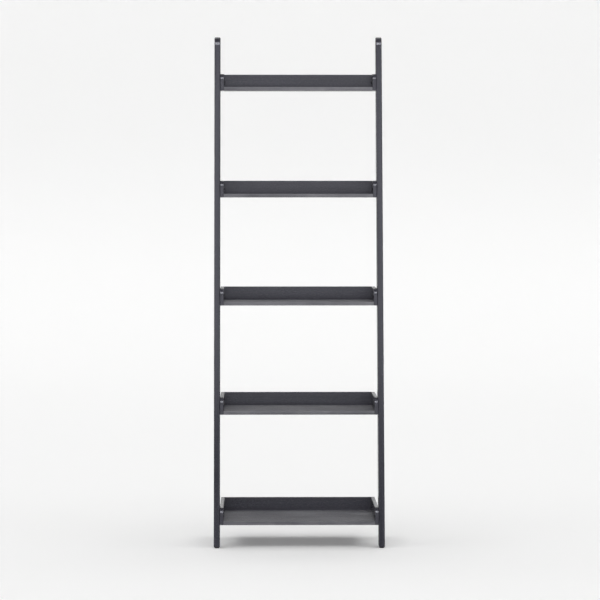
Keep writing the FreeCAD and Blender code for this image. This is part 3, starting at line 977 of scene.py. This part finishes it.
def studio_world():
    """Dark just over the bowl's rim, a bright ring above that, and dark overhead."""
    world = bpy.data.worlds.new("studio_world")
    world.use_nodes = True
    tree = world.node_tree
    direction = add(tree, "ShaderNodeTexCoord").outputs["Generated"]
    height = add(tree, "ShaderNodeSeparateXYZ", {0: direction}).outputs[2]
    around = [math.sin(math.radians(elevation)) for elevation in SURROUND_START]
    over = [math.sin(math.radians(elevation)) for elevation in OVERHEAD_START]
    level = math_of(tree, "ADD", remap(tree, height, *around, LOW_LEVEL, SURROUND_LEVEL),
                    remap(tree, height, *over, 0.0, OVERHEAD_LEVEL - SURROUND_LEVEL))
    tree.links.new(level, tree.nodes["Background"].inputs["Strength"])
    tree.nodes["Background"].inputs["Color"].default_value = WHITE
    return world


scene.world = studio_world()

# %% Key lamp
KEY_ELEVATION = math.radians(42)
KEY_WIDE = math.radians(18)
KEY_STRENGTH = 1.2

all_but_bowl = bpy.data.collections.new("lit_by_lamps")
all_but_bowl.objects.link(bowl)
all_but_bowl.collection_objects[0].light_linking.link_state = "EXCLUDE"


def new_lamp(name, kind, **settings):
    """A lamp that lights everything but the bowl. The camera can't see it."""
    lamp = bpy.data.objects.new(name, bpy.data.lights.new(name, kind))
    for setting, value in settings.items():
        setattr(lamp.data, setting, value)
    lamp.visible_camera = False
    lamp.light_linking.receiver_collection = all_but_bowl
    scene.collection.objects.link(lamp)
    return lamp


key = new_lamp("key_lamp", "SUN", angle=KEY_WIDE, energy=KEY_STRENGTH)
key.rotation_euler = (QUARTER - KEY_ELEVATION, 0, 0)

# %% Soft panels
PANEL_WIDE = 5.0
PANEL_TALL = 1.75
PANEL_CENTRE = Vector((0.0, -2.3, 2.025))
PANEL_RADIANCE = 1.5
LOW_PANEL_WIDE = 6.0
LOW_PANEL_TALL = 0.75
LOW_PANEL_CENTRE = Vector((0.0, -7.0, 0.525))
LOW_PANEL_RADIANCE = 2.3


def new_panel(name, centre, wide, tall, radiance):
    """An upright soft panel that faces the shelf. Radiance is how bright it looks in a mirror."""
    power = radiance * math.pi * wide * tall
    panel = new_lamp(name, "AREA", shape="RECTANGLE", size=wide, size_y=tall, energy=power)
    panel.location = centre
    panel.rotation_euler = (QUARTER, 0, 0)
    print(name, "power, watts:", round(power, 1))


new_panel("front_panel", PANEL_CENTRE, PANEL_WIDE, PANEL_TALL, PANEL_RADIANCE)
new_panel("low_panel", LOW_PANEL_CENTRE, LOW_PANEL_WIDE, LOW_PANEL_TALL, LOW_PANEL_RADIANCE)

# %% [markdown]
# Without help the feet would mirror the bowl's bright wall. Studios hang a black flag in front of such a
# wall, and so does this file: a black sheet where the feet look, which only reflections can see.

# %% Hang the flag
FLAG_WIDE = 10.0
FLAG_FRONT = -8.0
FLAG_HEIGHTS = (0.95, 3.3)
FLAG_BLACK = (0.004, 0.004, 0.004)


def flag_mesh():
    """An upright sheet that faces the shelf."""
    half = FLAG_WIDE / 2
    foot, top = FLAG_HEIGHTS
    corners = [(half, FLAG_FRONT, foot), (-half, FLAG_FRONT, foot),
               (-half, FLAG_FRONT, top), (half, FLAG_FRONT, top)]
    mesh = bpy.data.meshes.new("black_flag")
    mesh.from_pydata(corners, [], [range(len(corners))])
    return mesh


velvet, _, _ = new_finish("flag_velvet", FLAG_BLACK, roughness=1.0)
flag = bpy.data.objects.new("black_flag", flag_mesh())
flag.data.materials.append(velvet)
flag.visible_camera = False
flag.visible_diffuse = False
flag.visible_shadow = False
scene.collection.objects.link(flag)
print("flag faces the shelf:", flag.data.polygons[0].normal.y > 0)

# %% [markdown]
# ## Camera
#
# The shelf is seen from the front and a little from the left, from far off with a long lens, so its legs
# look parallel. The camera is about as high as an adult's chest, and looks at the middle of the shelf.

# %% Place the camera
CAMERA_FROM = Vector((-0.15, -11.0, 1.30))
CAMERA_DOWN = math.radians(2.158)
CAMERA_RIGHT = math.radians(0.808)
LENS = 180.9
FARTHEST_SEEN = 200.0

lens = bpy.data.cameras.new("camera")
lens.lens = LENS
lens.clip_end = FARTHEST_SEEN
camera = bpy.data.objects.new("camera", lens)
camera.location = CAMERA_FROM
camera.rotation_euler = (QUARTER - CAMERA_DOWN, 0, -CAMERA_RIGHT)
scene.collection.objects.link(camera)
scene.camera = camera
